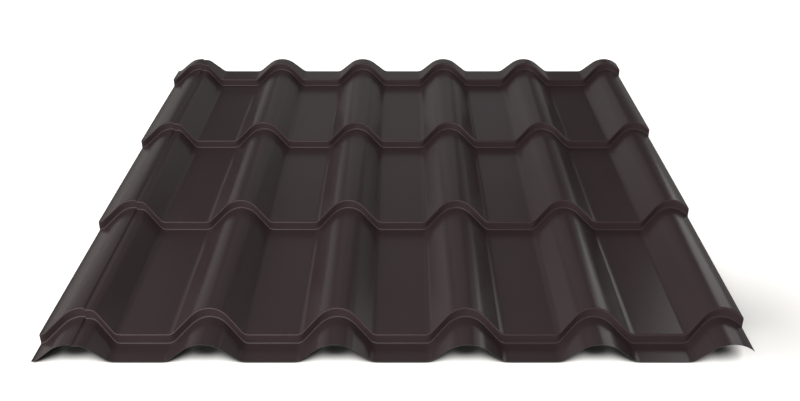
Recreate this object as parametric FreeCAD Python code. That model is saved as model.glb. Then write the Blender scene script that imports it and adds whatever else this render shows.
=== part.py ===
import FreeCAD, Part
import math
import os
from FreeCAD import Vector

# Pressed steel roofing sheet with a tile pattern: one piece, lying flat, seen side up.
# The waves run along Y and the eave end is at -Y. Sizes are in millimetres.
# The origin is the middle of the sheet's outline, on the floor.

# Section across the sheet, measured on the upper skin
pitch = 210.0             # crest to crest
crests = 6
pan_width = 78.0          # flat between two waves
wave_height = 34.2        # crest above the pan
crest_radius = 49.0
foot_radius = 19.0        # where a flank runs out into the pan
left_trim = 1.0           # the left edge stops this far short of the pan
right_lip = 4.0           # flank kept beyond the last crest's round

# Ledge that breaks the capillary gap under a side lap, on the first crest
ledge_offset = 4.0        # from the crest's middle to the ledge, on its right
ledge_drop = 2.6
ledge_run = 2.4           # width of the small slope down to the ledge
shoulder_radius = 22.0    # from the ledge into the flank

# Steps along the sheet
module = 350.0            # batten spacing
step_count = 4
step_rise = 18.3
step_lean = 0.875         # how far a step's edge lies back for each mm of wave height
fold_radius = 2.5
eave_apron = 49.0         # in front of the first step
head_strip = 62.0         # behind the last step

sheet = 0.5               # steel, measured on a pan

# Worked out from the sizes above
half_base = (pitch - pan_width) / 2
radii = crest_radius + foot_radius
flank_run = math.sqrt(half_base ** 2 + (radii - wave_height) ** 2 - radii ** 2)
flank_angle = math.atan2(radii, flank_run) - math.atan2(radii - wave_height, half_base)
fall = step_rise / module
fall_angle = math.atan(fall)
square_to_lean = module / (module + step_lean * step_rise)
skin_gap = sheet / (math.cos(fall_angle) - math.sin(fall_angle))


# A section piece is a list of weighted points: two make a line, three make a round.
def straight(start, end):
    return [(start[0], start[1], 1.0), (end[0], end[1], 1.0)]


def round_piece(centre, radius, start, end):
    half = abs(end - start) / 2
    middle = (start + end) / 2
    reach = radius / math.cos(half)
    first = (centre[0] + radius * math.cos(start), centre[1] + radius * math.sin(start), 1.0)
    corner = (centre[0] + reach * math.cos(middle), centre[1] + reach * math.sin(middle), math.cos(half))
    last = (centre[0] + radius * math.cos(end), centre[1] + radius * math.sin(end), 1.0)
    return [first, corner, last]


def left_foot(x, trim=0.0):
    start = -math.pi / 2 + math.asin(trim / foot_radius)
    return round_piece((x - half_base, foot_radius), foot_radius, start, flank_angle - math.pi / 2)


def right_foot(x):
    start = -math.pi / 2 - flank_angle
    return round_piece((x + half_base, foot_radius), foot_radius, start, -math.pi / 2)


def crest(x):
    centre = (x, wave_height - crest_radius)
    return [round_piece(centre, crest_radius, math.pi / 2 + flank_angle, math.pi / 2 - flank_angle)]


def ledge_crest(x):
    """First crest: round up to the ledge, the ledge, and a tighter shoulder into the flank."""
    centre = (x, wave_height - crest_radius)
    brink_angle = math.pi / 2 - math.asin(ledge_offset / crest_radius)
    rise_round = round_piece(centre, crest_radius, math.pi / 2 + flank_angle, brink_angle)
    brink = rise_round[-1]
    level = wave_height - ledge_drop
    ledge_start = (x + ledge_offset + ledge_run, level)
    crest_fall = crest_radius * (1 - math.cos(flank_angle))
    flank_meet = x + crest_radius * math.sin(flank_angle) - (crest_fall - ledge_drop) / math.tan(flank_angle)
    ledge_end = (flank_meet - shoulder_radius * math.tan(flank_angle / 2), level)
    shoulder_centre = (ledge_end[0], level - shoulder_radius)
    shoulder = round_piece(shoulder_centre, shoulder_radius, math.pi / 2, math.pi / 2 - flank_angle)
    return [rise_round, straight(brink, ledge_start), straight(ledge_start, ledge_end), shoulder]


def lip(start):
    end = (start[0] + right_lip * math.cos(flank_angle), start[1] - right_lip * math.sin(flank_angle))
    return straight(start, end)


def cross_section():
    """The waves from the left edge to the right edge, with the first crest at x = 0."""
    pieces = []
    for number in range(crests):
        x = number * pitch
        is_first = number == 0
        is_last = number == crests - 1
        foot = left_foot(x, left_trim) if is_first else left_foot(x)
        top = ledge_crest(x) if is_first else crest(x)
        if not is_first:
            pieces.append(straight(pieces[-1][-1], foot[0]))
        pieces += [foot, straight(foot[-1], top[0][0])]
        pieces += top
        if is_last:
            pieces.append(lip(top[-1][-1]))
        else:
            far_foot = right_foot(x)
            pieces += [straight(top[-1][-1], far_foot[0]), far_foot]
    return pieces


# A station places the whole section: (y, z, lean, weight, step to the lower skin).
def leaning(y, z, weight=1.0):
    return (y, z, step_lean, weight, Vector(0, skin_gap, -skin_gap))


def square(y, z):
    return (y, z, 0.0, 1.0, Vector(0, 0, -skin_gap * (1 - fall)))


def step_stations(y):
    """Fold at a step's foot, its upright face and the fold at its top."""
    turn = math.pi / 2 + fall_angle
    reach = fold_radius * math.tan(turn / 2)
    weight = math.cos(turn / 2)
    back = reach * math.cos(fall_angle)
    drop = reach * math.sin(fall_angle)
    foot = [leaning(y - back, drop), leaning(y, 0, weight), leaning(y, reach)]
    top = [leaning(y, step_rise - reach), leaning(y, step_rise, weight), leaning(y + back, step_rise - drop)]
    return [foot, [foot[-1], top[0]], top]


def long_section():
    """Stretches along the sheet, from the eave to the head, with the first step at y = 0."""
    last_step = (step_count - 1) * module
    stretches = []
    here = square(-eave_apron, eave_apron * fall)
    for number in range(step_count):
        step = step_stations(number * module)
        stretches += [[here, step[0][0]]] + step
        here = step[-1][-1]
    stretches.append([here, square(last_step + head_strip, step_rise - head_strip * fall)])
    return stretches


def placed(point, station, lower):
    x, height, point_weight = point
    y, z, lean, station_weight, to_lower = station
    if lean:
        height *= square_to_lean
    spot = Vector(x, y + lean * height, z + height)
    if lower:
        spot += to_lower
    return spot, point_weight * station_weight


def face_from(grid):
    """Face through a grid of weighted points: a plane where it has only four corners."""
    if len(grid) == 2 and len(grid[0]) == 2:
        corners = [grid[0][0][0], grid[1][0][0], grid[1][1][0], grid[0][1][0]]
        return Part.Face(Part.makePolygon(corners + corners[:1]))
    rows = len(grid)
    columns = len(grid[0])
    surface = Part.BSplineSurface()
    surface.buildFromPolesMultsKnots(
        [[spot for spot, weight in row] for row in grid],
        [rows, rows], [columns, columns], [0, 1], [0, 1], False, False, rows - 1, columns - 1,
        [[weight for spot, weight in row] for row in grid])
    return surface.toShape()


def skin(pieces, stretches, lower):
    return [face_from([[placed(point, station, lower) for station in stretch] for point in piece])
            for stretch in stretches for piece in pieces]


def cut_edges(pieces, stretches):
    """Thin faces round the rim that join the two skins."""
    faces = []
    for point in (pieces[0][0], pieces[-1][-1]):
        for stretch in stretches:
            faces.append(face_from([[placed(point, station, lower) for station in stretch]
                                    for lower in (False, True)]))
    for station in (stretches[0][0], stretches[-1][-1]):
        for piece in pieces:
            faces.append(face_from([[placed(point, station, lower) for lower in (False, True)]
                                    for point in piece]))
    return faces


def roofing_sheet():
    pieces = cross_section()
    stretches = long_section()
    faces = skin(pieces, stretches, False) + skin(pieces, stretches, True) + cut_edges(pieces, stretches)
    shell = Part.makeShell(faces)
    shell.sewShape()
    solid = Part.Solid(shell)
    if solid.Volume < 0:
        solid.reverse()
    return solid


def seated(solid):
    """Move the sheet so that its outline is centred and its lowest folds touch the floor."""
    left = -half_base + left_trim
    right = (crests - 1) * pitch + crest_radius * math.sin(flank_angle) + right_lip * math.cos(flank_angle)
    back = (step_count - 1) * module + head_strip
    lowest = fold_radius * (fall + 1 / math.cos(fall_angle) - 1) - skin_gap
    solid.translate(Vector(-(left + right) / 2, (eave_apron - back) / 2, -lowest))
    return solid


os.makedirs("parts", exist_ok=True)
seated(roofing_sheet()).exportStep("parts/roofing_sheet.step")
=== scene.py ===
import bpy
import math
from mathutils import Matrix, Vector


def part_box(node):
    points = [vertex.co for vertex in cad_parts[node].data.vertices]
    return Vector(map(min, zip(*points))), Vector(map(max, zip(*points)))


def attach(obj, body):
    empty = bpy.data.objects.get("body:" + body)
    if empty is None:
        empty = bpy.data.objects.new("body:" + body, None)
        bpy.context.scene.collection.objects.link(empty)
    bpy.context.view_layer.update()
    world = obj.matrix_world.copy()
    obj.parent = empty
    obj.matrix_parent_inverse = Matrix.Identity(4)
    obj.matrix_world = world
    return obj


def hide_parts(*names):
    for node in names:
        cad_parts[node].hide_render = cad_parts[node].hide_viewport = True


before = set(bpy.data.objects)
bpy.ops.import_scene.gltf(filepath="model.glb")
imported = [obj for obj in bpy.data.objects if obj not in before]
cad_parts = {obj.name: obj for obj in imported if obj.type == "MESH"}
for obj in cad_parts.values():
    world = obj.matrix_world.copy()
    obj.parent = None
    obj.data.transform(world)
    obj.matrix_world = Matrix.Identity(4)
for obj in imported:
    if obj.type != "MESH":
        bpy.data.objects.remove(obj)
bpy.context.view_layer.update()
cadLow, cadHigh = [Vector(corner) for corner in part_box("roofing_sheet")]
cadMiddle = (cadLow + cadHigh) / 2
print("frame loaded")


# small helpers for node trees

def feed(tree, socket, value):
    if isinstance(value, bpy.types.NodeSocket):
        tree.links.new(value, socket)
    else:
        socket.default_value = value


def addNode(tree, kind, values=None, **settings):
    node = tree.nodes.new(kind)
    for name, value in settings.items():
        setattr(node, name, value)
    for name, value in (values or {}).items():
        feed(tree, node.inputs[name], value)
    return node


def calc(tree, operation, *values):
    node = tree.nodes.new("ShaderNodeMath")
    node.operation = operation
    for socket, value in zip(node.inputs, values):
        feed(tree, socket, value)
    return node.outputs[0]


def choose(tree, test, ifFalse, ifTrue, kind="FLOAT"):
    values = {"Switch": test, "False": ifFalse, "True": ifTrue}
    return addNode(tree, "GeometryNodeSwitch", values, input_type=kind).outputs[0]


def equals(tree, a, b):
    node = addNode(tree, "FunctionNodeCompare", data_type="INT", operation="EQUAL")
    feed(tree, node.inputs[2], a)
    feed(tree, node.inputs[3], b)
    return node.outputs[0]


# the sheet's section across its waves, on the upper skin, in metres
section = {
    "pitch": 0.210,
    "crests": 6,
    "panWidth": 0.078,
    "waveHeight": 0.0342,
    "crestRadius": 0.049,
    "footRadius": 0.019,
    "leftTrim": 0.001,       # left edge stops short of the pan
    "rightLip": 0.0040,      # flank left after the last crest
    "ledgeOffset": 0.004,    # ledge that breaks the capillary gap, right of the first crest's middle
    "ledgeDrop": 0.0026,
    "ledgeRun": 0.0024,
    "ledgeRound": 0.0009,
    "shoulderRadius": 0.022,
    "bendStep": math.radians(4),   # turn per facet in a bend
}


def flankAngle(s):
    halfBase = (s["pitch"] - s["panWidth"]) / 2
    radii = s["crestRadius"] + s["footRadius"]
    run = math.sqrt(halfBase ** 2 + (radii - s["waveHeight"]) ** 2 - radii ** 2)
    return math.atan2(radii, run) - math.atan2(radii - s["waveHeight"], halfBase)


# corners of the section before bending, as (x, z, bend radius, turn)
def bendPlan(s):
    flank = flankAngle(s)
    halfBase = (s["pitch"] - s["panWidth"]) / 2
    crestR, footR, height = s["crestRadius"], s["footRadius"], s["waveHeight"]
    footCorner = halfBase - footR * math.tan(flank / 2)
    apex = height + crestR * (1 / math.cos(flank) - 1)
    # left edge, part of the way up its foot
    edgeSlope = math.asin(s["leftTrim"] / footR)
    edge = (s["leftTrim"] - halfBase, footR * (1 - math.cos(edgeSlope)))
    reach = footR * math.tan((flank - edgeSlope) / 2)
    corners = [edge + (0, 0),
               (edge[0] + reach * math.cos(edgeSlope), edge[1] + reach * math.sin(edgeSlope),
                footR, flank - edgeSlope)]
    # first crest with its ledge
    brinkSlope = math.asin(s["ledgeOffset"] / crestR)
    brink = (s["ledgeOffset"], height - crestR * (1 - math.cos(brinkSlope)))
    reach = crestR * math.tan((flank + brinkSlope) / 2)
    level = height - s["ledgeDrop"]
    shoulder = (apex - level) / math.tan(flank)
    corners += [(brink[0] - reach * math.cos(brinkSlope), brink[1] + reach * math.sin(brinkSlope),
                 crestR, flank + brinkSlope),
                brink + (s["ledgeRound"], 1.0),
                (s["ledgeOffset"] + s["ledgeRun"], level, s["ledgeRound"], 1.0),
                (shoulder, level, s["shoulderRadius"], flank),
                (footCorner, 0, footR, flank)]
    # the other waves
    for number in range(1, s["crests"]):
        x = number * s["pitch"]
        corners += [(x - footCorner, 0, footR, flank),
                    (x, apex, crestR, 2 * flank),
                    (x + footCorner, 0, footR, flank)]
    # the last flank is cut to a lip
    x = (s["crests"] - 1) * s["pitch"]
    lipX = crestR * math.sin(flank) + s["rightLip"] * math.cos(flank)
    lipZ = height - crestR * (1 - math.cos(flank)) - s["rightLip"] * math.sin(flank)
    corners[-1] = (x + lipX, lipZ, 0, 0)
    return corners


def sectionObject(s):
    corners = bendPlan(s)
    mesh = bpy.data.meshes.new("bendPlan")
    mesh.from_pydata([(x, 0, z) for x, z, radius, turn in corners],
                     [(i, i + 1) for i in range(len(corners) - 1)], [])
    radii = mesh.attributes.new("bendRadius", "FLOAT", "POINT")
    facets = mesh.attributes.new("bendFacets", "INT", "POINT")
    for i, (x, z, radius, turn) in enumerate(corners):
        radii.data[i].value = radius
        facets.data[i].value = max(1, math.ceil(turn / s["bendStep"]))
    item = bpy.data.objects.new("roofing_sheet_plan", mesh)
    bpy.context.scene.collection.objects.link(item)
    return item


# the sheet's steps along its length, made by a node tree
steps = {
    "Module": 0.350,         # from step to step
    "Steps": 4,
    "Step Rise": 0.0183,
    "Step Lean": 0.875,      # a step's edge lies back this much per metre of wave height
    "Fold Radius": 0.0025,
    "Fold Facets": 7,
    "Eave Apron": 0.049,
    "Head Strip": 0.062,
    "Steel": 0.0005,
    "Longest Facet": 0.022,
}
socketKinds = {"Steps": "NodeSocketInt", "Fold Facets": "NodeSocketInt"}
weldDistance = 0.00001


# cuts every straight run into pieces no longer than that
def shortenFacets(tree, curve, longest):
    index = addNode(tree, "GeometryNodeInputIndex").outputs[0]
    here = addNode(tree, "GeometryNodeInputPosition").outputs[0]
    following = {"Index": calc(tree, "ADD", index, 1), "Value": here}
    after = addNode(tree, "GeometryNodeFieldAtIndex", following, data_type="FLOAT_VECTOR").outputs[0]
    gap = addNode(tree, "ShaderNodeVectorMath", operation="DISTANCE")
    feed(tree, gap.inputs[0], here)
    feed(tree, gap.inputs[1], after)
    cuts = calc(tree, "FLOOR", calc(tree, "DIVIDE", gap.outputs["Value"], longest))
    return addNode(tree, "GeometryNodeSubdivideCurve", {"Curve": curve, "Cuts": cuts}).outputs[0]


def pointAt(tree, points, index):
    here = addNode(tree, "GeometryNodeInputPosition").outputs[0]
    node = addNode(tree, "GeometryNodeSampleIndex", {"Geometry": points, "Value": here, "Index": index},
                   data_type="FLOAT_VECTOR", domain="POINT")
    return addNode(tree, "ShaderNodeSeparateXYZ", {"Vector": node.outputs[0]}).outputs


def pointCount(tree, points):
    return addNode(tree, "GeometryNodeAttributeDomainSize", {"Geometry": points},
                   component="POINTCLOUD").outputs["Point Count"]


# side view of the sheet: down a module, up a step, and so on
def stepPath(tree, given):
    count = calc(tree, "ADD", calc(tree, "MULTIPLY", given["Steps"], 2), 2)
    line = addNode(tree, "GeometryNodeMeshLine", {"Count": count})
    index = addNode(tree, "GeometryNodeInputIndex").outputs[0]
    inner = calc(tree, "SUBTRACT", index, 1)
    isFirst = equals(tree, index, 0)
    isLast = equals(tree, index, calc(tree, "SUBTRACT", count, 1))
    fall = calc(tree, "DIVIDE", given["Step Rise"], given["Module"])
    stepY = calc(tree, "MULTIPLY", calc(tree, "FLOOR", calc(tree, "DIVIDE", inner, 2)), given["Module"])
    stepZ = calc(tree, "MULTIPLY", calc(tree, "FLOORED_MODULO", inner, 2), given["Step Rise"])
    lastY = calc(tree, "MULTIPLY", calc(tree, "SUBTRACT", given["Steps"], 1), given["Module"])
    headY = calc(tree, "ADD", lastY, given["Head Strip"])
    headZ = calc(tree, "SUBTRACT", given["Step Rise"], calc(tree, "MULTIPLY", given["Head Strip"], fall))
    eaveY = calc(tree, "MULTIPLY", given["Eave Apron"], -1)
    eaveZ = calc(tree, "MULTIPLY", given["Eave Apron"], fall)
    y = choose(tree, isFirst, choose(tree, isLast, stepY, headY), eaveY)
    z = choose(tree, isFirst, choose(tree, isLast, stepZ, headZ), eaveZ)
    spot = addNode(tree, "ShaderNodeCombineXYZ", {"X": 0.0, "Y": y, "Z": z}).outputs[0]
    placed = addNode(tree, "GeometryNodeSetPosition", {"Geometry": line.outputs[0], "Position": spot})
    curve = addNode(tree, "GeometryNodeMeshToCurve", {"Mesh": placed.outputs[0]})
    folded = addNode(tree, "GeometryNodeFilletCurve",
                     {"Curve": curve.outputs[0], "Radius": given["Fold Radius"],
                      "Count": given["Fold Facets"]}, mode="POLY")
    return folded.outputs[0]


# 0 at the two square ends, 1 from the first fold to the last
def leanShare(tree, given, y):
    fallAngle = calc(tree, "ARCTANGENT", calc(tree, "DIVIDE", given["Step Rise"], given["Module"]))
    halfTurn = calc(tree, "DIVIDE", calc(tree, "ADD", fallAngle, math.pi / 2), 2)
    reach = calc(tree, "MULTIPLY", calc(tree, "TANGENT", halfTurn), given["Fold Radius"])
    back = calc(tree, "MULTIPLY", reach, calc(tree, "COSINE", fallAngle))
    lastY = calc(tree, "MULTIPLY", calc(tree, "SUBTRACT", given["Steps"], 1), given["Module"])
    fromEave = calc(tree, "DIVIDE", calc(tree, "ADD", y, given["Eave Apron"]),
                    calc(tree, "SUBTRACT", given["Eave Apron"], back))
    toHead = calc(tree, "SUBTRACT", calc(tree, "ADD", lastY, given["Head Strip"]), y)
    fromHead = calc(tree, "DIVIDE", toHead, calc(tree, "SUBTRACT", given["Head Strip"], back))
    share = calc(tree, "MINIMUM", fromEave, fromHead)
    return addNode(tree, "ShaderNodeClamp", {"Value": share}).outputs[0]


def mix(tree, share, a, b):
    node = addNode(tree, "ShaderNodeMix", data_type="FLOAT")
    feed(tree, node.inputs[0], share)
    feed(tree, node.inputs[2], a)
    feed(tree, node.inputs[3], b)
    return node.outputs[0]


def readMark(tree, name, kind):
    return addNode(tree, "GeometryNodeInputNamedAttribute", {"Name": name}, data_type=kind).outputs[0]


def bentSection(tree, plan):
    radius = readMark(tree, "bendRadius", "FLOAT")
    facets = readMark(tree, "bendFacets", "INT")
    curve = addNode(tree, "GeometryNodeMeshToCurve", {"Mesh": plan})
    bent = addNode(tree, "GeometryNodeFilletCurve",
                   {"Curve": curve.outputs[0], "Radius": radius, "Count": facets}, mode="POLY")
    return bent.outputs[0]


def asPoints(tree, curve):
    return addNode(tree, "GeometryNodeCurveToPoints", {"Curve": curve}, mode="EVALUATED").outputs["Points"]


def storeMark(tree, geometry, name, value, kind, domain, where=True):
    node = addNode(tree, "GeometryNodeStoreNamedAttribute",
                   {"Geometry": geometry, "Selection": where, "Name": name}, data_type=kind, domain=domain)
    feed(tree, node.inputs["Value"], value)
    return node.outputs[0]


def sheetTree(coatFace, backCoat, cutEdge):
    tree = bpy.data.node_groups.new("tileSteps", "GeometryNodeTree")
    tree.interface.new_socket("Bend Plan", in_out="INPUT", socket_type="NodeSocketGeometry")
    for name in steps:
        tree.interface.new_socket(name, in_out="INPUT", socket_type=socketKinds.get(name, "NodeSocketFloat"))
    tree.interface.new_socket("Sheet", in_out="OUTPUT", socket_type="NodeSocketGeometry")
    given = tree.nodes.new("NodeGroupInput").outputs
    bent = bentSection(tree, given["Bend Plan"])
    across = asPoints(tree, shortenFacets(tree, bent, given["Longest Facet"]))
    along = asPoints(tree, shortenFacets(tree, stepPath(tree, given), given["Longest Facet"]))
    acrossCount = pointCount(tree, across)
    alongCount = pointCount(tree, along)
    grid = addNode(tree, "GeometryNodeMeshGrid", {"Vertices X": acrossCount, "Vertices Y": alongCount})
    # every vertex adds a point of the section to a point of the side view
    index = addNode(tree, "GeometryNodeInputIndex").outputs[0]
    column = calc(tree, "FLOOR", calc(tree, "DIVIDE", calc(tree, "ADD", index, 0.5), alongCount))
    row = calc(tree, "SUBTRACT", index, calc(tree, "MULTIPLY", column, alongCount))
    onSection = pointAt(tree, across, column)
    onPath = pointAt(tree, along, row)
    x, waveZ = onSection["X"], onSection["Z"]
    pathY, pathZ = onPath["Y"], onPath["Z"]
    # both ends are cut square, everything between leans back with the wave
    isEave = equals(tree, row, 0)
    isHead = equals(tree, row, calc(tree, "SUBTRACT", alongCount, 1))
    isEnd = addNode(tree, "FunctionNodeBooleanMath", operation="OR")
    feed(tree, isEnd.inputs[0], isEave)
    feed(tree, isEnd.inputs[1], isHead)
    isEnd = isEnd.outputs[0]
    leanRise = calc(tree, "MULTIPLY", given["Step Lean"], given["Step Rise"])
    squareToLean = calc(tree, "DIVIDE", given["Module"], calc(tree, "ADD", given["Module"], leanRise))
    leaning = leanShare(tree, given, pathY)
    height = calc(tree, "MULTIPLY", waveZ, mix(tree, leaning, 1.0, squareToLean))
    leanY = calc(tree, "MULTIPLY", height, calc(tree, "MULTIPLY", leaning, given["Step Lean"]))
    spot = addNode(tree, "ShaderNodeCombineXYZ",
                   {"X": x, "Y": calc(tree, "ADD", pathY, leanY),
                    "Z": calc(tree, "ADD", pathZ, height)}).outputs[0]
    skin = addNode(tree, "GeometryNodeSetPosition", {"Geometry": grid.outputs["Mesh"], "Position": spot})
    # the lower skin lies down and back by the steel's thickness
    fall = calc(tree, "DIVIDE", given["Step Rise"], given["Module"])
    fallAngle = calc(tree, "ARCTANGENT", fall)
    spread = calc(tree, "SUBTRACT", calc(tree, "COSINE", fallAngle), calc(tree, "SINE", fallAngle))
    skinGap = calc(tree, "DIVIDE", given["Steel"], spread)
    endDown = calc(tree, "MULTIPLY", skinGap, calc(tree, "SUBTRACT", fall, 1))
    toBack = addNode(tree, "ShaderNodeCombineXYZ",
                     {"X": 0.0, "Y": choose(tree, isEnd, skinGap, 0.0),
                      "Z": choose(tree, isEnd, calc(tree, "MULTIPLY", skinGap, -1), endDown)}).outputs[0]
    marked = storeMark(tree, skin.outputs[0], "toBack", toBack, "FLOAT_VECTOR", "POINT")
    pulled = addNode(tree, "GeometryNodeExtrudeMesh",
                     {"Mesh": marked, "Offset Scale": 0.0, "Individual": False}, mode="FACES")
    back = addNode(tree, "GeometryNodeSetPosition",
                   {"Geometry": pulled.outputs["Mesh"], "Selection": pulled.outputs["Top"],
                    "Offset": readMark(tree, "toBack", "FLOAT_VECTOR")}).outputs[0]
    back = storeMark(tree, back, "isRim", True, "BOOLEAN", "FACE", pulled.outputs["Side"])
    back = storeMark(tree, back, "isBack", True, "BOOLEAN", "FACE", pulled.outputs["Top"])
    back = addNode(tree, "GeometryNodeSetShadeSmooth",
                   {"Geometry": back, "Shade Smooth": False, "Selection": pulled.outputs["Side"]})
    turned = addNode(tree, "GeometryNodeFlipFaces", {"Mesh": back.outputs[0]})
    both = addNode(tree, "GeometryNodeJoinGeometry")
    tree.links.new(marked, both.inputs[0])
    tree.links.new(turned.outputs[0], both.inputs[0])
    welded = addNode(tree, "GeometryNodeMergeByDistance",
                     {"Geometry": both.outputs[0], "Distance": weldDistance})
    # every face gets the coat, then the back and the rim get their own
    whole = addNode(tree, "GeometryNodeRealizeInstances", {"Geometry": welded.outputs[0]}).outputs[0]
    whole = addNode(tree, "GeometryNodeSetMaterial", {"Geometry": whole, "Material": coatFace}).outputs[0]
    for mark, finish in (("isBack", backCoat), ("isRim", cutEdge)):
        whole = addNode(tree, "GeometryNodeSetMaterial",
                        {"Geometry": whole, "Selection": readMark(tree, mark, "BOOLEAN"),
                         "Material": finish}).outputs[0]
    result = tree.nodes.new("NodeGroupOutput")
    tree.links.new(whole, result.inputs[0])
    return tree


def buildSheet(materials):
    plan = sectionObject(section)
    tree = sheetTree(*materials)
    modifier = plan.modifiers.new("tileSteps", "NODES")
    modifier.node_group = tree
    for item in tree.interface.items_tree:
        if item.item_type == "SOCKET" and item.in_out == "INPUT" and item.name in steps:
            modifier[item.identifier] = steps[item.name]
    bpy.context.view_layer.update()
    evaluated = plan.evaluated_get(bpy.context.evaluated_depsgraph_get())
    mesh = bpy.data.meshes.new_from_object(evaluated)
    plan.modifiers.remove(modifier)
    bpy.data.objects.remove(plan)
    for name in ("toBack", "isRim", "isBack"):
        mesh.attributes.remove(mesh.attributes[name])
    mesh.name = "roofing_sheet_coated"
    # seat it where the frame's sheet lies
    low = Vector([min(v.co[axis] for v in mesh.vertices) for axis in range(3)])
    high = Vector([max(v.co[axis] for v in mesh.vertices) for axis in range(3)])
    shift = cadMiddle - (low + high) / 2
    shift.z = cadLow.z - low.z
    mesh.transform(Matrix.Translation(shift))
    sheet = bpy.data.objects.new("roofing_sheet_coated", mesh)
    bpy.context.scene.collection.objects.link(sheet)
    print("sheet made:", len(mesh.vertices), "vertices", len(mesh.polygons), "faces")
    return sheet


# one group for both coats: roller streaks along the coil, broad cloudiness and fine orange peel
grainPattern = {
    "streakScale": (90, 2.5, 90),    # per metre, long along the coil
    "streakDetail": 3.0,
    "streakShare": 0.55,
    "cloudScale": 7.0,
    "cloudDetail": 2.0,
    "cloudShare": 0.45,
    "middle": 0.5,                   # of the blend, so that it swings both ways
    "peelDetail": 1.0,
}


def coatGrain(s):
    group = bpy.data.node_groups.new("coatGrain", "ShaderNodeTree")
    for name, kind in (("Colour", "NodeSocketColor"), ("Colour Spread", "NodeSocketFloat"),
                       ("Roughness", "NodeSocketFloat"), ("Roughness Spread", "NodeSocketFloat"),
                       ("Peel Size", "NodeSocketFloat"), ("Peel Height", "NodeSocketFloat")):
        group.interface.new_socket(name, in_out="INPUT", socket_type=kind)
    for name, kind in (("Colour", "NodeSocketColor"), ("Roughness", "NodeSocketFloat"),
                       ("Normal", "NodeSocketVector")):
        group.interface.new_socket(name, in_out="OUTPUT", socket_type=kind)
    given = group.nodes.new("NodeGroupInput").outputs
    place = addNode(group, "ShaderNodeTexCoord").outputs["Object"]
    along = addNode(group, "ShaderNodeMapping", {"Vector": place, "Scale": s["streakScale"]}).outputs[0]
    streaks = addNode(group, "ShaderNodeTexNoise",
                      {"Vector": along, "Scale": 1.0, "Detail": s["streakDetail"]}).outputs[0]
    clouds = addNode(group, "ShaderNodeTexNoise",
                     {"Vector": place, "Scale": s["cloudScale"], "Detail": s["cloudDetail"]}).outputs[0]
    blend = calc(group, "ADD", calc(group, "MULTIPLY", streaks, s["streakShare"]),
                 calc(group, "MULTIPLY", clouds, s["cloudShare"]))
    swing = calc(group, "SUBTRACT", blend, s["middle"])
    shade = calc(group, "ADD", 1.0, calc(group, "MULTIPLY", swing, given["Colour Spread"]))
    tint = addNode(group, "ShaderNodeVectorMath", operation="SCALE")
    feed(group, tint.inputs[0], given["Colour"])
    feed(group, tint.inputs["Scale"], shade)
    rough = calc(group, "ADD", given["Roughness"], calc(group, "MULTIPLY", swing, given["Roughness Spread"]))
    peelScale = calc(group, "DIVIDE", 1.0, given["Peel Size"])
    peel = addNode(group, "ShaderNodeTexNoise",
                   {"Vector": place, "Scale": peelScale, "Detail": s["peelDetail"]}).outputs[0]
    bump = addNode(group, "ShaderNodeBump",
                   {"Strength": 1.0, "Distance": given["Peel Height"], "Height": peel})
    result = group.nodes.new("NodeGroupOutput")
    group.links.new(tint.outputs[0], result.inputs["Colour"])
    group.links.new(rough, result.inputs["Roughness"])
    group.links.new(bump.outputs[0], result.inputs["Normal"])
    return group


grain = coatGrain(grainPattern)

coats = {
    "coatedFace": {"Colour": (0.0535, 0.0345, 0.0365, 1), "Colour Spread": 0.14, "Roughness": 0.25,
                   "Roughness Spread": 0.08, "Peel Size": 0.0014, "Peel Height": 0.000008},
    "backCoat": {"Colour": (0.36, 0.365, 0.36, 1), "Colour Spread": 0.10, "Roughness": 0.46,
                 "Roughness Spread": 0.16, "Peel Size": 0.0011, "Peel Height": 0.000012},
}
coatSpecular = 0.30


def coatMaterial(name):
    material = bpy.data.materials.new(name)
    material.use_nodes = True
    tree = material.node_tree
    shader = tree.nodes["Principled BSDF"]
    shader.inputs["Specular IOR Level"].default_value = coatSpecular
    node = addNode(tree, "ShaderNodeGroup", node_tree=grain)
    for socket, value in coats[name].items():
        node.inputs[socket].default_value = value
    tree.links.new(node.outputs["Colour"], shader.inputs["Base Color"])
    tree.links.new(node.outputs["Roughness"], shader.inputs["Roughness"])
    tree.links.new(node.outputs["Normal"], shader.inputs["Normal"])
    return material


# bare steel where the sheet was cut
cutSteel = {
    "grainScale": 900.0,
    "grainDetail": 2.0,
    "smoothest": 0.30,
    "roughest": 0.55,
    "dark": (0.16, 0.155, 0.155, 1),
    "light": (0.30, 0.30, 0.31, 1),
    "metallic": 0.8,
}


def cutEdgeMaterial(s):
    material = bpy.data.materials.new("cutEdge")
    material.use_nodes = True
    tree = material.node_tree
    shader = tree.nodes["Principled BSDF"]
    place = addNode(tree, "ShaderNodeTexCoord").outputs["Object"]
    marks = addNode(tree, "ShaderNodeTexNoise",
                    {"Vector": place, "Scale": s["grainScale"], "Detail": s["grainDetail"]}).outputs[0]
    rough = addNode(tree, "ShaderNodeMapRange",
                    {"Value": marks, "To Min": s["smoothest"], "To Max": s["roughest"]}).outputs[0]
    colour = addNode(tree, "ShaderNodeMix", data_type="RGBA")
    feed(tree, colour.inputs[0], marks)
    colour.inputs[6].default_value = s["dark"]
    colour.inputs[7].default_value = s["light"]
    tree.links.new(colour.outputs[2], shader.inputs["Base Color"])
    tree.links.new(rough, shader.inputs["Roughness"])
    shader.inputs["Metallic"].default_value = s["metallic"]
    return material


finishes = (coatMaterial("coatedFace"), coatMaterial("backCoat"), cutEdgeMaterial(cutSteel))
print("finishes ready")
sheet = buildSheet(finishes)
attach(sheet, "root")
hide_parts("roofing_sheet")


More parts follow.
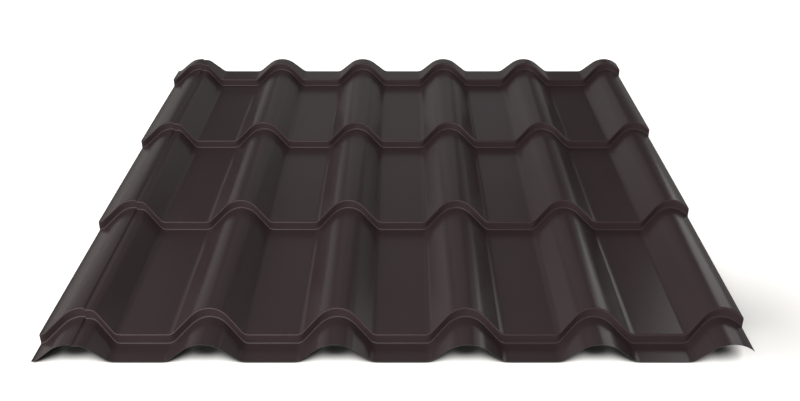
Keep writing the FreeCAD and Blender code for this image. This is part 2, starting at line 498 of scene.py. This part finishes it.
# a pale matt floor with a glow of its own, which makes it white, with painted shade under the sheet and a
# painted shadow to its right
stage = {
    "floorHalf": 9,
    "floorColour": (0.66, 0.646, 0.618, 1),
    "glowColour": (1, 0.985, 0.96, 1),
    "farGlow": 1.0,
    # painted shadow: round the spot below, the floor's glow falls to this, standing in for the sheet's
    # shadow to its right
    "paintedShadowGlow": 0.47,
    "paintedShadowSpot": (0.62, -0.46, 0),      # the glow is weakest here: a painted shade, not a cast one
    "paintedShadowReach": (0.02, 0.27),         # the glow grows between these distances from it
    "mirrorShare": 0.45,              # share of the floor's lit colour that the sheet mirrors
    "glossShare": 0.10,               # share of the floor's glow that the sheet mirrors
    "underReach": 0.055,              # how far round the sheet the painted shade on the floor reaches
    "underBand": (0.25, 0.60),        # how open to the sky: full painted shade below the first, none above the second
    "underShade": 0.10,               # share of the floor colour left in the painted shade right under the sheet
    "underSamples": 64,
}


def makeFloor(s):
    half = s["floorHalf"]
    mesh = bpy.data.meshes.new("floor")
    corners = [(-half, -half, 0), (half, -half, 0), (half, half, 0), (-half, half, 0)]
    mesh.from_pydata(corners, [], [(0, 1, 2, 3)])
    floor = bpy.data.objects.new("floor", mesh)
    bpy.context.scene.collection.objects.link(floor)
    material = bpy.data.materials.new("studioFloor")
    material.use_nodes = True
    tree = material.node_tree
    tree.nodes.clear()
    path = tree.nodes.new("ShaderNodeLightPath")
    gloss = calc(tree, "MULTIPLY", path.outputs["Is Glossy Ray"], s["glossShare"])
    seen = calc(tree, "MAXIMUM", path.outputs["Is Camera Ray"], gloss)
    seen = calc(tree, "MAXIMUM", seen, path.outputs["Is Transmission Ray"])
    # painted shade: how clear of the sheet the floor is, from 0 under it to 1 in the open, by ambient
    # occlusion; it darkens the floor's glow and colour
    openSky = addNode(tree, "ShaderNodeAmbientOcclusion", {"Distance": s["underReach"]},
                      samples=s["underSamples"]).outputs["AO"]
    dark, light = s["underBand"]
    clear = addNode(tree, "ShaderNodeMapRange",
                    {"Value": openSky, "From Min": dark, "From Max": light}).outputs[0]
    # painted shadow: the glow dims round a fixed spot right of the sheet, standing in for the shadow the
    # sheet casts there
    spot = addNode(tree, "ShaderNodeTexCoord").outputs["Object"]
    away = addNode(tree, "ShaderNodeVectorMath", {0: spot, 1: s["paintedShadowSpot"]}, operation="DISTANCE")
    near, far = s["paintedShadowReach"]
    grow = addNode(tree, "ShaderNodeMapRange",
                   {"Value": away.outputs["Value"], "From Min": near, "From Max": far,
                    "To Min": s["paintedShadowGlow"], "To Max": s["farGlow"]})
    strength = calc(tree, "MULTIPLY", clear, grow.outputs[0])
    glow = addNode(tree, "ShaderNodeEmission",
                   {"Color": s["glowColour"], "Strength": calc(tree, "MULTIPLY", strength, seen)})
    # painted shade: the floor's colour darkens under and round the sheet
    shade = calc(tree, "MULTIPLY_ADD", clear, 1 - s["underShade"], s["underShade"])
    mirrored = calc(tree, "MULTIPLY_ADD", path.outputs["Is Glossy Ray"], s["mirrorShare"] - 1, 1)
    shade = calc(tree, "MULTIPLY", shade, mirrored)
    colour = addNode(tree, "ShaderNodeVectorMath",
                     {0: s["floorColour"][:3], "Scale": shade}, operation="SCALE")
    matt = addNode(tree, "ShaderNodeBsdfDiffuse", {"Color": colour.outputs[0]})
    both = addNode(tree, "ShaderNodeAddShader")
    tree.links.new(glow.outputs[0], both.inputs[0])
    tree.links.new(matt.outputs[0], both.inputs[1])
    result = tree.nodes.new("ShaderNodeOutputMaterial")
    tree.links.new(both.outputs[0], result.inputs["Surface"])
    mesh.materials.append(material)


makeFloor(stage)

# room light: a dim room, paler low down, on the left and behind the camera
room = {"all": 0.045, "horizon": 0.27, "left": 0.20, "front": 0.42}
# each fade: the axis it follows, and where on it the room is dark and pale
roomFades = {"horizon": ("Z", 0.35, 0.0), "left": ("X", 0.1, -0.9), "front": ("Y", 0.0, -0.9)}


def makeRoom(s):
    world = bpy.data.worlds.new("studio")
    bpy.context.scene.world = world
    world.use_nodes = True
    tree = world.node_tree
    way = addNode(tree, "ShaderNodeTexCoord").outputs["Generated"]
    split = addNode(tree, "ShaderNodeSeparateXYZ", {"Vector": way})
    total = s["all"]
    for name, (axis, dark, pale) in roomFades.items():
        fade = addNode(tree, "ShaderNodeMapRange",
                       {"Value": split.outputs[axis], "From Min": dark, "From Max": pale, "To Max": s[name]},
                       interpolation_type="SMOOTHSTEP")
        total = calc(tree, "ADD", total, fade.outputs[0])
    tree.links.new(total, tree.nodes["Background"].inputs["Color"])


makeRoom(room)

# every lamp is a soft box: where it stands, where it points, width and height, watts
lamps = {
    "frontLeft": {"place": (-1.2, -2.6, 1.6), "aim": (0, 0, 0), "size": (3.2, 2.4), "watts": 64},
    "high": {"place": (-1.0, -2.0, 2.6), "aim": (0, 0, 0), "size": (3.0, 2.0), "watts": 11},
    "lowLeft": {"place": (-2.0, -0.9, 0.95), "aim": (0, 0, 0), "size": (0.9, 0.9), "watts": 3.5},
    "backLeft": {"place": (-1.6, 2.0, 1.1), "aim": (0, 0, 0), "size": (1.0, 1.4), "watts": 0.9},
    "backRight": {"place": (1.6, 2.0, 1.75), "aim": (0.3, -0.3, 0), "size": (0.7, 0.8), "watts": 3.2},
    "nearRight": {"place": (1.3, 0.95, 0.55), "aim": (0.35, -0.45, 0.03), "size": (0.6, 0.5), "watts": 1.3},
    "backLow": {"place": (0, 2.3, 0.65), "aim": (0, 0, 0.1), "size": (1.25, 0.6), "watts": 0.51},
    "backMiddle": {"place": (0, 2.3, 1.15), "aim": (0, 0, 0.1), "size": (1.25, 0.5), "watts": 0.34},
    "backHigh": {"place": (0, 2.3, 1.9), "aim": (0, 0, 0.1), "size": (1.8, 0.8), "watts": 1.0},
}


def addLamp(name, place, aim, size, watts):
    data = bpy.data.lights.new(name, "AREA")
    data.shape = "RECTANGLE"
    data.size, data.size_y = size
    data.energy = watts
    lamp = bpy.data.objects.new(name, data)
    lamp.location = place
    lamp.rotation_euler = (Vector(aim) - Vector(place)).to_track_quat("-Z", "Y").to_euler()
    lamp.visible_camera = False
    bpy.context.scene.collection.objects.link(lamp)


for name, lamp in lamps.items():
    addLamp(name, **lamp)
print("floor, room and", len(lamps), "lamps ready")

camera = {
    "place": (0.0214, -1.7684, 0.9949),
    "tiltDown": 30.32,
    "lens": 43.14,
    "sensorWidth": 36,
    "shiftX": -0.0064,
    "nearest": 0.01,
}
cameraData = bpy.data.cameras.new("camera")
cameraData.lens = camera["lens"]
cameraData.sensor_width = camera["sensorWidth"]
cameraData.sensor_fit = "HORIZONTAL"
cameraData.shift_x = camera["shiftX"]
cameraData.clip_start = camera["nearest"]
cameraObject = bpy.data.objects.new("camera", cameraData)
cameraObject.location = camera["place"]
cameraObject.rotation_euler = (math.radians(90 - camera["tiltDown"]), 0, 0)
bpy.context.scene.collection.objects.link(cameraObject)
bpy.context.scene.camera = cameraObject
bpy.context.scene.view_settings.view_transform = "Standard"
print("camera placed")
